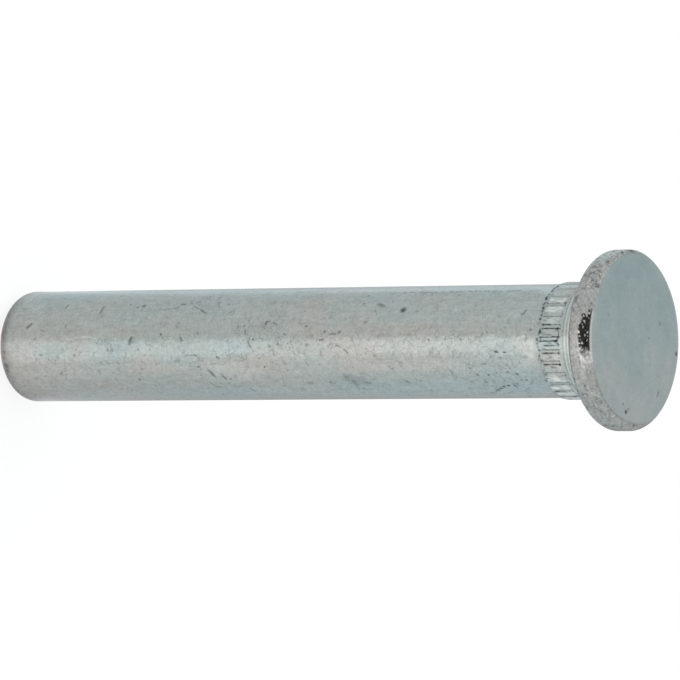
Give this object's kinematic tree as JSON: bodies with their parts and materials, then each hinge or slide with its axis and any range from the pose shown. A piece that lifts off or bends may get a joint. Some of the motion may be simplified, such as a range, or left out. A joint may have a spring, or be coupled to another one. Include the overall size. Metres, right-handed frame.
{
  "type": "hinge pin",
  "caption": "Headed steel hinge pin: a plain round shank to carry the knuckles, a grooved press collar under a flat head and a rounded free end.",
  "frame": {"origin": "centre of the flat free end, on which the pin stands", "axes": "+Z along the pin's axis, from the free end to the head; a groove of the collar faces -Y"},
  "size_m": [0.0138, 0.0138, 0.0564],
  "materials": {
    "zinc_plate": "zinc plate with a clear bluish passivate, satin, with axial scuffs, small pits and handling marks"
  },
  "bodies": {
    "root": {"hinge_pin": "zinc_plate"}
  },
  "joints": []
}
